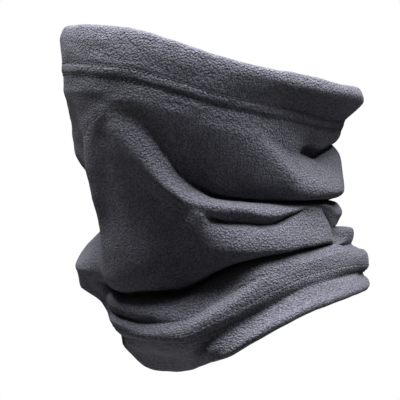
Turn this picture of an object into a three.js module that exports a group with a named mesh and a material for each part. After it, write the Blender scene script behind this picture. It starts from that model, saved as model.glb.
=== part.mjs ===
// Neck gaiter: a tube of fleece, hemmed at both ends, as it sits gathered round a neck and lower face.
// Millimetres, +Z up. The origin is on the axis of the neck, level with the lowest point of the bottom hem.
// -Y is the front, where the face is, and +X is the wearer's left. Azimuth is measured from the front
// towards +X, so the seam of the tube, at the centre back, is at 180 degrees.

import * as THREE from 'three';
import { mergeVertices } from 'three/addons/utils/BufferGeometryUtils.js';

// ---- driving dimensions -------------------------------------------------------------------------------

const CLOTH = 2.6; // thickness of the fleece
const HEM_GAP = 0.4; // air between the two layers of a hem
const HEM_STACK = 2 * CLOTH + HEM_GAP; // a hem, through both layers
const HEM_ALLOWANCE = 1.2; // cloth past the inner row of stitches
const EDGE_LIFT = 0.5; // how far a raw edge curls away from the layer behind it
const SEAM_GAP = 0.4; // between the two edges that the back seam joins
const CLEARANCE = 0.3; // between a thread and the cloth that it lies on
const SEAM_CLEARANCE = 0.6; // the same for the threads of the back seam, which cross the curve of the cloth
const THREAD_RADIUS = 0.45;
const LOOPER_BAND = 0.5; // depth of the looper thread's net on the inside of a hem
const OVERLOCK_SPREAD = 2.4; // sideways distance from the overlock's needle thread to each looper
const SEAM_AZIMUTH = 180;
const AZIMUTH_STEPS = 48;
const ORIGIN_DROP = 4.2; // from the level where the fold heights are counted down to the lowest point

const LABEL = { length: 13, height: 20, ply: 0.5, gap: 0.5, bottom: 104 };

const FLEECE_COLOUR = 0x484a54;
const THREAD_COLOUR = 0x2c2d33;
const LABEL_COLOUR = 0xe4e4e0;

// The lines along which the tube folds, from the top edge down. Each point is an azimuth in degrees, the
// reach from the neck's axis and the height. A line whose name ends in _crease, _pinch or _dip is a
// valley, one whose name ends in _roll or _band is the crest between two valleys, and _belly is the
// underside of the hanging cheek.
const FOLD_LINES = {
  top_edge: [[-90, 80, 184], [-60, 85, 196], [-35, 95, 205.5], [0, 99.5, 209.5], [20, 96.5, 207.5],
    [40, 92, 199.5], [55, 88, 191.5], [75, 85, 183.5], [95, 85.5, 179.5], [115, 88.5, 173.5],
    [130, 91, 171], [145, 92, 166.5], [180, 90, 159], [225, 86, 171]],
  top_stitch_upper: [[-90, 83, 162], [-60, 87, 174], [-35, 94, 182], [0, 103.5, 186],
    [20, 100.5, 184], [40, 93.5, 176], [55, 87.5, 168], [75, 81.5, 162], [95, 77.5, 156.5],
    [115, 77.5, 150.5], [145, 82, 148], [180, 85, 141], [225, 87, 150]],
  top_stitch_lower: [[-90, 82, 156], [-60, 86, 168], [-35, 93, 175], [0, 103.5, 179],
    [20, 100, 177], [40, 93, 169], [55, 87, 162], [75, 80.5, 155], [95, 76, 150.5],
    [115, 75.5, 145.5], [145, 80, 142.5], [180, 81, 135], [225, 84, 144]],
  nape_pinch: [[-90, 78, 146], [-60, 84, 157], [-35, 94, 164], [0, 103.5, 169], [20, 100.5, 169],
    [40, 93.5, 165], [55, 87, 156.5], [70, 84, 149.5], [81, 82, 141.5], [95, 78, 133],
    [108, 72, 130.5], [118, 70, 127.5], [130, 73, 131], [145, 74, 135.5], [180, 77, 126],
    [225, 75, 134]],
  cheek_roll: [[-90, 86, 130], [-60, 90, 141], [-35, 93, 148], [-20, 93, 149], [-8, 97, 152],
    [2, 101, 156], [12, 101.5, 163.5], [25, 99, 165], [38, 94, 158.5], [48, 88.5, 151.5],
    [61, 84.5, 145.5], [70, 81.5, 139.5], [81, 80.5, 129], [93, 83, 115], [115, 85, 107],
    [145, 81, 104], [180, 86, 104], [225, 87, 112]],
  cheek_belly: [[-90, 84, 122], [-60, 87, 134], [-35, 92.5, 143], [-20, 91, 142], [-8, 95, 146],
    [2, 100.5, 149], [12, 101, 160], [19, 99.5, 163.5], [26, 97.5, 160], [34, 92.5, 148],
    [40, 87.5, 135.5], [47, 82, 123.5], [55, 79, 118], [66, 77.5, 112.5], [77, 78, 110],
    [95, 82, 105.5], [106, 83, 104], [145, 80, 101], [180, 83, 96], [225, 84, 103]],
  cheek_crease: [[-90, 68, 108], [-60, 76, 122], [-35, 92, 138], [-20, 89, 135], [-8, 92, 138],
    [2, 99.5, 142], [12, 100, 155], [19, 98.5, 159], [26, 96, 154], [34, 89, 135.5],
    [40, 82.5, 120], [47, 74.5, 112], [55, 70, 106.5], [77, 66, 103], [106, 65, 101],
    [145, 73, 98], [180, 70, 90], [225, 68, 97]],
  upper_roll: [[-90, 85, 98], [-60, 86, 110], [-35, 90, 125], [-20, 86, 123], [-10, 86, 121],
    [2, 98, 126], [12, 98.5, 147], [18, 99.5, 143.5], [27, 97.5, 128.5], [38, 93.5, 111.5],
    [45, 89, 105.5], [54, 86, 102], [66, 84.5, 100], [79, 82.5, 97], [90, 80, 98],
    [103, 78.5, 99.5], [113, 81, 98], [125, 80.5, 92.5], [145, 81, 89], [180, 85, 82],
    [225, 86, 89]],
  upper_crease: [[-90, 72, 88], [-60, 72, 98], [-35, 79, 111], [-20, 76, 104], [-10, 79, 102],
    [2, 95, 104], [12, 95, 128], [20, 92.5, 118], [30, 90.5, 107], [40, 88.5, 99], [48, 88, 97.5],
    [54, 80.5, 94.5], [59, 71, 93], [69, 68, 93], [79, 69, 92], [89, 77, 94.5], [98, 79, 97],
    [107, 80, 97], [114, 78, 91.5], [122, 77.5, 83.5], [145, 76, 80], [180, 73, 74],
    [225, 71, 80]],
  jaw_roll: [[-90, 87, 78], [-60, 76, 82], [-35, 70, 80], [-22, 71, 84], [-10, 74.5, 86],
    [2, 88.5, 88], [15, 89.5, 98], [25, 87, 94], [35, 86.5, 93], [45, 87.5, 90.5], [60, 85, 89],
    [76, 83, 87], [95, 82.5, 88], [110, 83, 85], [117, 81, 80], [124, 77, 77], [130, 78.5, 75.5],
    [138, 86, 79], [145, 88, 78.5], [180, 87, 71], [225, 88, 70]],
  chin_roll: [[-90, 84, 70], [-60, 88, 66], [-35, 90.5, 54.5], [-24, 88, 55], [-10, 80, 58],
    [2, 86, 65.5], [12, 87.5, 63.5], [22, 86, 63.5], [32, 82, 69], [42, 80.5, 71.5],
    [52, 84.5, 74.5], [65, 87, 75], [80, 87, 75.5], [95, 86.5, 78], [110, 85, 77.5], [119, 81, 72],
    [130, 82, 72], [145, 88, 72], [180, 84, 66], [225, 85, 63]],
  jaw_crease: [[-90, 70, 62], [-60, 76, 58], [-35, 89.5, 50.5], [-20, 84, 50], [-8, 77, 48],
    [5, 74, 44], [15, 66, 44.5], [25, 60, 45.5], [35, 60, 46.5], [45, 60, 52], [55, 61, 60],
    [65, 64, 66.5], [78, 71, 71], [96, 74, 74], [115, 77, 74], [130, 80, 70], [145, 87, 69],
    [180, 74, 61], [225, 70, 57]],
  collar_roll: [[-90, 84, 54], [-60, 86, 47], [-35, 87, 40.5], [-20, 75.5, 38.5], [0, 78, 38],
    [20, 81, 36], [40, 80.5, 37], [55, 80, 47.5], [75, 86.5, 63.5], [95, 87.5, 68.5],
    [115, 88.5, 71], [145, 88, 67.5], [180, 87, 57], [225, 86, 53]],
  collar_crease: [[-90, 76, 48], [-60, 76, 38], [-35, 75, 33], [-15, 74.5, 30.5], [0, 77.5, 29],
    [20, 78.5, 29.5], [40, 81.5, 33.5], [55, 82, 45], [75, 87, 61], [95, 88.5, 67.5],
    [115, 90, 70], [145, 91.5, 66], [180, 83, 54], [225, 78, 49.5]],
  hem_roll: [[-90, 86, 46], [-60, 80, 36], [-35, 69, 25.5], [-15, 73, 26.5], [0, 78.5, 26],
    [20, 81.5, 25.5], [40, 86.5, 28.5], [55, 89.5, 41], [75, 89, 58], [95, 89.5, 64.5],
    [115, 92, 67], [145, 97.5, 62.5], [180, 95, 51], [225, 91, 46]],
  bottom_stitch_upper: [[-90, 88, 40], [-60, 77, 30], [-35, 65, 20], [0, 75.5, 21.5],
    [20, 82.5, 22.5], [40, 87.5, 25.5], [55, 90.5, 36.5], [75, 91, 51.5], [95, 91, 60],
    [115, 93, 61.5], [145, 98, 55.5], [180, 97, 44], [200, 96, 38], [225, 94, 40]],
  bottom_stitch_lower: [[-90, 87, 34], [-60, 74, 23], [-35, 60, 14], [0, 69, 15], [20, 77.5, 18],
    [40, 85.5, 20], [55, 89, 29], [75, 90, 42.5], [95, 91, 54], [115, 93, 55], [145, 95.5, 52],
    [180, 95, 38], [200, 94, 32], [225, 92, 34]],
  hem_dip: [[-90, 86.5, 29], [-60, 71, 18], [-35, 59.5, 10], [0, 64, 11], [20, 70, 13],
    [40, 78.5, 15.5], [55, 89, 25], [75, 90.5, 40], [95, 92.5, 51], [115, 93.5, 53],
    [145, 95.5, 50], [180, 95, 34], [200, 93.5, 27.5], [225, 91.5, 29]],
  hem_band: [[-90, 86.5, 21], [-60, 68, 11], [-35, 60.5, 3.5], [0, 58, 4.5], [20, 59.5, 5.5],
    [40, 70, 8.5], [55, 90.5, 19], [75, 94, 36.5], [95, 96, 47], [115, 97.5, 50], [145, 97, 46.5],
    [180, 96, 27.5], [200, 94.5, 20.5], [225, 92, 21]],
  bottom_edge: [[-90, 80, 11], [-60, 62, 2], [-35, 51, -4], [0, 48, -4], [20, 47, -4],
    [38, 56, -3.5], [50, 79, 5.5], [58, 93, 13.5], [66, 98, 24.5], [79, 101, 36.5],
    [92, 101, 42.5], [105, 101, 45], [125, 100.5, 45], [145, 98.5, 42.5], [160, 98, 33.5],
    [180, 95.5, 21.5], [200, 93.5, 13], [225, 90, 12]],
};
const ROWS = Object.keys(FOLD_LINES);

// ---- the folded shape ---------------------------------------------------------------------------------

// Slope at each point of a closed line, which never makes the curve overshoot between two points.
function slopesAround(azimuths, values) {
  const count = azimuths.length;
  const span = (i) => (azimuths[(i + 1) % count] - azimuths[i] + 360) % 360;
  const rise = (i) => (values[(i + 1) % count] - values[i]) / span(i);
  return values.map((_, i) => {
    const before = (i + count - 1) % count;
    const [slopeIn, slopeOut] = [rise(before), rise(i)];
    if (slopeIn * slopeOut <= 0) return 0.25 * (slopeIn + slopeOut);
    const weightIn = 2 * span(i) + span(before);
    const weightOut = span(i) + 2 * span(before);
    return (weightIn + weightOut) / (weightIn / slopeIn + weightOut / slopeOut);
  });
}

// A smooth value all the way round from the points of a fold line: which is 1 for reach, 2 for height.
function valueAround(points, which, azimuth) {
  const azimuths = points.map((point) => point[0]);
  const values = points.map((point) => point[which]);
  const slopes = slopesAround(azimuths, values);
  const turned = THREE.MathUtils.euclideanModulo(azimuth - azimuths[0], 360) + azimuths[0];
  let from = azimuths.length - 1;
  while (azimuths[from] > turned) from -= 1;
  const to = (from + 1) % azimuths.length;
  const span = (azimuths[to] - azimuths[from] + 360) % 360;
  const t = (turned - azimuths[from]) / span;
  return (2 * t ** 3 - 3 * t ** 2 + 1) * values[from] + (t ** 3 - 2 * t ** 2 + t) * span * slopes[from]
    + (3 * t ** 2 - 2 * t ** 3) * values[to] + (t ** 3 - t ** 2) * span * slopes[to];
}

// The outer face of the cloth at one azimuth: a Vector2 of reach and height for each fold line.
function outerProfile(azimuth) {
  const profile = ROWS.map((row) => new THREE.Vector2(
    valueAround(FOLD_LINES[row], 1, azimuth),
    valueAround(FOLD_LINES[row], 2, azimuth) + ORIGIN_DROP,
  ));
  // The first and last points give way to the round of each hem's fold.
  const round = HEM_STACK / 2;
  const last = profile.length - 1;
  profile[0].add(profile[1].clone().sub(profile[0]).setLength(round));
  profile[last].add(profile[last - 1].clone().sub(profile[last]).setLength(round));
  return profile;
}

// Unit vector out of the outer face between two points of a profile that runs downwards.
function outwardNormal(upper, lower) {
  const along = lower.clone().sub(upper).normalize();
  return new THREE.Vector2(-along.y, along.x);
}

// For each point of a profile, the step that moves it one millimetre into the cloth.
function inwardSteps(profile) {
  return profile.map((point, i) => {
    const above = outwardNormal(profile[Math.max(i - 1, 0)], profile[Math.max(i, 1)]);
    const below = outwardNormal(
      profile[Math.min(i, profile.length - 2)],
      profile[Math.min(i + 1, profile.length - 1)],
    );
    const middle = above.clone().add(below).normalize();
    return middle.multiplyScalar(-1 / Math.max(middle.dot(above), 0.7));
  });
}

// One slice of the tube: its outer profile and the way to reach any depth under it.
function sliceAt(azimuth) {
  const profile = outerProfile(azimuth);
  const steps = inwardSteps(profile);
  const depth = (row, mm) => {
    const i = ROWS.indexOf(row);
    return profile[i].clone().addScaledVector(steps[i], mm);
  };
  // The raw edge of a hem: it carries on past its inner row of stitches, away from the outer row.
  const rawEdge = (row, outerRow, mm) => {
    const here = depth(row, mm);
    const onwards = here.clone().sub(depth(outerRow, mm)).setLength(HEM_ALLOWANCE);
    return here.add(onwards).addScaledVector(steps[ROWS.indexOf(row)], EDGE_LIFT);
  };
  return { profile, steps, depth, rawEdge };
}

// The points of a round fold that joins the face at `start` to the one HEM_STACK further in.
function foldRound(start, step, away) {
  const round = HEM_STACK / 2;
  const centre = start.clone().addScaledVector(step, round);
  return [45, 90, 135].map((degrees) => {
    const angle = THREE.MathUtils.degToRad(degrees);
    return centre.clone()
      .addScaledVector(step, -round * Math.cos(angle))
      .addScaledVector(away, round * Math.sin(angle));
  });
}

// The slice through the whole panel: out along the right side of the cloth, back along the wrong side.
function panelSection(azimuth) {
  const { profile, steps, depth, rawEdge } = sliceAt(azimuth);
  const last = profile.length - 1;
  const up = profile[0].clone().sub(profile[1]).normalize();
  const down = profile[last].clone().sub(profile[last - 1]).normalize();
  const topRows = ['top_stitch_lower', 'top_stitch_upper', 'top_edge'];
  const bottomRows = ['bottom_edge', 'hem_band', 'hem_dip', 'bottom_stitch_lower', 'bottom_stitch_upper'];
  const inner = CLOTH + HEM_GAP;
  const slitEnd = (i, away) => profile[i].clone()
    .addScaledVector(steps[i], CLOTH + HEM_GAP / 2)
    .addScaledVector(away, HEM_GAP / 2);
  const rightSide = [
    rawEdge('top_stitch_lower', 'top_stitch_upper', HEM_STACK),
    ...topRows.map((row) => depth(row, HEM_STACK)),
    ...foldRound(profile[0], steps[0], up).reverse(),
    ...profile,
    ...foldRound(profile[last], steps[last], down),
    ...bottomRows.map((row) => depth(row, HEM_STACK)),
    rawEdge('bottom_stitch_upper', 'bottom_stitch_lower', HEM_STACK),
  ];
  const wrongSide = [
    rawEdge('top_stitch_lower', 'top_stitch_upper', inner),
    ...topRows.map((row) => depth(row, inner)),
    slitEnd(0, up),
    ...ROWS.map((row) => depth(row, CLOTH)),
    slitEnd(last, down),
    ...bottomRows.map((row) => depth(row, inner)),
    rawEdge('bottom_stitch_upper', 'bottom_stitch_lower', inner),
  ];
  return [...rightSide, ...wrongSide.reverse()];
}

// ---- turning sections into solids ---------------------------------------------------------------------

// A point of a slice in space.
function inSpace({ x: reach, y: height }, azimuth) {
  const angle = THREE.MathUtils.degToRad(azimuth);
  return new THREE.Vector3(reach * Math.sin(angle), -reach * Math.cos(angle), height);
}

// The stations round the neck, from one edge of the back seam to the other. Every solid that runs round
// the neck uses the same ones, so that threads lie parallel to the cloth under them.
function stationsAround() {
  const halfGap = THREE.MathUtils.radToDeg(SEAM_GAP / 2 / FOLD_LINES.upper_roll[0][1]);
  return Array.from({ length: AZIMUTH_STEPS + 1 }, (_, i) => {
    const azimuth = SEAM_AZIMUTH + (360 * i) / AZIMUTH_STEPS;
    if (i === 0) return azimuth + halfGap;
    return i === AZIMUTH_STEPS ? azimuth - halfGap : azimuth;
  });
}

// A closed solid through rings of the same number of points, with a flat cap on the first and last ring.
function loft(rings, capOutline) {
  const size = rings[0].length;
  const index = [];
  for (let i = 0; i < rings.length - 1; i += 1) {
    for (let k = 0; k < size; k += 1) {
      const next = (k + 1) % size;
      const [a, b] = [i * size + k, i * size + next];
      const [c, d] = [a + size, b + size];
      index.push(a, b, d, a, d, c);
    }
  }
  const cap = THREE.ShapeUtils.triangulateShape(capOutline, []);
  const lastRing = (rings.length - 1) * size;
  const facesBackwards = THREE.ShapeUtils.isClockWise(capOutline);
  cap.forEach(([a, b, c]) => {
    const turned = facesBackwards ? [a, b, c] : [a, c, b];
    index.push(...turned);
    index.push(...turned.map((k) => k + lastRing).reverse());
  });
  const geometry = new THREE.BufferGeometry();
  geometry.setAttribute('position', new THREE.Float32BufferAttribute(
    rings.flat().flatMap((point) => point.toArray()), 3,
  ));
  geometry.setIndex(index);
  return facesOut(mergeVertices(geometry));
}

// The same closed solid with its triangles facing out.
function facesOut(geometry) {
  const position = geometry.getAttribute('position');
  const index = geometry.getIndex().array;
  const corner = (i) => new THREE.Vector3().fromBufferAttribute(position, index[i]);
  let volume = 0;
  for (let i = 0; i < index.length; i += 3) {
    volume += corner(i).dot(corner(i + 1).cross(corner(i + 2)));
  }
  if (volume < 0) {
    for (let i = 0; i < index.length; i += 3) {
      [index[i + 1], index[i + 2]] = [index[i + 2], index[i + 1]];
    }
  }
  geometry.computeVertexNormals();
  return geometry;
}

// A solid that runs round the neck with the section that `section` gives at each azimuth.
function aroundNeck(section) {
  const stations = stationsAround();
  const sections = stations.map(section);
  const rings = sections.map((points, i) => points.map((point) => inSpace(point, stations[i])));
  return loft(rings, sections[0]);
}

function part(name, geometry, colour, roughness) {
  const material = new THREE.MeshStandardMaterial({ color: colour, roughness, metalness: 0 });
  const mesh = new THREE.Mesh(geometry, material);
  mesh.name = name;
  return mesh;
}

// ---- sub-parts ----------------------------------------------------------------------------------------

// One cut of fleece, with its two long edges turned in as hems and its short edges meeting at the back.
function fleecePanel() {
  return part('fleece_panel', aroundNeck(panelSection), FLEECE_COLOUR, 0.95);
}

// A needle thread of a hem: it shows on the outer face as one row of stitches.
function needleThread(name, row) {
  const section = (azimuth) => {
    const { steps, depth } = sliceAt(azimuth);
    const out = steps[ROWS.indexOf(row)].clone().normalize().negate();
    const along = new THREE.Vector2(-out.y, out.x);
    const centre = depth(row, -(CLEARANCE + THREAD_RADIUS));
    return [
      centre.clone().addScaledVector(out, THREAD_RADIUS),
      centre.clone().addScaledVector(along, THREAD_RADIUS),
      centre.clone().addScaledVector(out, -THREAD_RADIUS),
      centre.clone().addScaledVector(along, -THREAD_RADIUS),
    ];
  };
  return part(name, aroundNeck(section), THREAD_COLOUR, 0.6);
}

// The looper thread of a hem: a flat net inside the hem, from one row of stitches to the other.
function looperThread(name, upperRow, lowerRow) {
  const near = HEM_STACK + CLEARANCE;
  const far = near + LOOPER_BAND;
  const section = (azimuth) => {
    const { depth } = sliceAt(azimuth);
    return [depth(upperRow, near), depth(lowerRow, near), depth(lowerRow, far), depth(upperRow, far)];
  };
  return part(name, aroundNeck(section), THREAD_COLOUR, 0.6);
}

// One thread of the overlocked back seam: it runs down the inside of the cloth between the two hems.
function seamThread(name, sideways) {
  const turn = THREE.MathUtils.radToDeg(sideways / FOLD_LINES.upper_roll[0][1]);
  const { steps, depth } = sliceAt(SEAM_AZIMUTH + turn);
  const rows = ROWS.slice(ROWS.indexOf('nape_pinch'), ROWS.indexOf('hem_roll') + 1);
  const rings = rows.map((row) => {
    const inwards = steps[ROWS.indexOf(row)].clone().normalize();
    const centre = depth(row, CLOTH + SEAM_CLEARANCE + THREAD_RADIUS);
    const corners = [[0, 1], [1, 0], [0, -1], [-1, 0]];
    return corners.map(([across, deep]) => {
      const point = centre.clone().addScaledVector(inwards, deep * THREAD_RADIUS);
      return new THREE.Vector3(across * THREAD_RADIUS - sideways, point.x, point.y);
    });
  });
  const outline = rings[0].map(({ x, y }) => new THREE.Vector2(x, y));
  return part(name, loft(rings, outline), THREAD_COLOUR, 0.6);
}

// The care label: a strip of satin tape folded in half, its ends caught in the back seam. It is blank.
function careLabel() {
  const { length, height, ply, gap, bottom } = LABEL;
  const rows = ['cheek_roll', 'cheek_crease'].map((row) => sliceAt(SEAM_AZIMUTH).depth(row, CLOTH));
  const share = (rows[0].y - bottom) / (rows[0].y - rows[1].y);
  const clothInside = THREE.MathUtils.lerp(rows[0].x, rows[1].x, THREE.MathUtils.clamp(share, 0, 1));
  const root = clothInside - SEAM_CLEARANCE - 2 * THREAD_RADIUS - 4 * CLEARANCE;
  const half = ply + gap / 2;
  const outline = new THREE.Shape();
  outline.moveTo(half, 0);
  outline.lineTo(half, -(length - half));
  outline.absarc(0, -(length - half), half, 0, -Math.PI, true);
  outline.lineTo(-half, 0);
  outline.lineTo(-gap / 2, 0);
  outline.lineTo(-gap / 2, -(length - half));
  outline.absarc(0, -(length - half), gap / 2, -Math.PI, 0, false);
  outline.lineTo(gap / 2, 0);
  const tape = new THREE.ExtrudeGeometry(outline, { depth: height, bevelEnabled: false, curveSegments: 6 });
  const label = part('care_label', tape, LABEL_COLOUR, 0.4);
  label.position.set(0, root, bottom);
  return label;
}

// ---- the whole object ---------------------------------------------------------------------------------

const gaiter = new THREE.Group();
gaiter.add(
  fleecePanel(),
  needleThread('top_needle_thread_upper', 'top_stitch_upper'),
  needleThread('top_needle_thread_lower', 'top_stitch_lower'),
  looperThread('top_looper_thread', 'top_stitch_upper', 'top_stitch_lower'),
  needleThread('bottom_needle_thread_upper', 'bottom_stitch_upper'),
  needleThread('bottom_needle_thread_lower', 'bottom_stitch_lower'),
  looperThread('bottom_looper_thread', 'bottom_stitch_upper', 'bottom_stitch_lower'),
  seamThread('back_seam_needle_thread', 0),
  seamThread('back_seam_upper_looper', -OVERLOCK_SPREAD),
  seamThread('back_seam_lower_looper', OVERLOCK_SPREAD),
  careLabel(),
);

export default gaiter;
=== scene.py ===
"""Neck gaiter: the looks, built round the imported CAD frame.

Metres, +Z up, front at -Y, wearer's left at +X. The cloth is worked out in millimetres.
"""

import math

import bpy
import numpy as np
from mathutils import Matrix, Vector, noise


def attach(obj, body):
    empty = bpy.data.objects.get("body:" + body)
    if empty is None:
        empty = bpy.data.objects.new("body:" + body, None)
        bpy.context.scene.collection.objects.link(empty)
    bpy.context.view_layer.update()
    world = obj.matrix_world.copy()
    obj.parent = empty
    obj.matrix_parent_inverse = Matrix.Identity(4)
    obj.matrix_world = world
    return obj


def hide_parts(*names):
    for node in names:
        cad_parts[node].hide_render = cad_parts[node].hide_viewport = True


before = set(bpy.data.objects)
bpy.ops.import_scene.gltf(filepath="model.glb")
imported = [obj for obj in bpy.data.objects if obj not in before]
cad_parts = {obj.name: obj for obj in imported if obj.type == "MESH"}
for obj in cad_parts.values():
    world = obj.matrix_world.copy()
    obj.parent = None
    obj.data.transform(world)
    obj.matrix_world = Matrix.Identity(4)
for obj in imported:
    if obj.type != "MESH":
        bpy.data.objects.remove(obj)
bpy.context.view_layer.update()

MM = 0.001

# ---- driving dimensions, millimetres --------------------------------------------------------------------

CLOTH = 2.6             # thickness of the fleece
HEM_GAP = 0.4           # air between the two layers of a hem
HEM_STACK = 2 * CLOTH + HEM_GAP
HEM_ROUND = HEM_STACK / 2
ORIGIN_DROP = 4.2       # from the level that the fold heights are counted from down to the origin
SEAM_AZIMUTH = 180.0
COLUMNS = 336           # points round the tube
ROW_STEP = 1.75         # between points along the cloth
FINE_STEP = 0.8         # the same beside a row of stitches
FINE_REACH = 5          # how far the fine steps go from the stitches
WRONG_SIDE_SKIP = 3     # the wrong side of the cloth keeps every third row of points
SEAM_RELAX_STEPS = 60
CLOSEST_KNOTS = 0.3     # points of a profile are spaced as if at least this far apart
NOISE_GAIN = 1.6        # brings the noise to about -1 to 1

DENTS = (               # height, size, seed, and how much wider than tall they are
    (0.45, 38, 1, 1.0),
    (0.25, 15, 2, 1.9),
    (0.08, 6.5, 3, 1.9),
)

GROOVE_DEPTH = 0.22     # what the stitches do to the face of the cloth
GROOVE_HALF_WIDTH = 0.9
PUFF_HEIGHT = 0.4
PUFF_HALF_WIDTH = 2.6
HEM_STEP_HEIGHT = 0.4
HEM_STEP_WIDTH = 5

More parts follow.
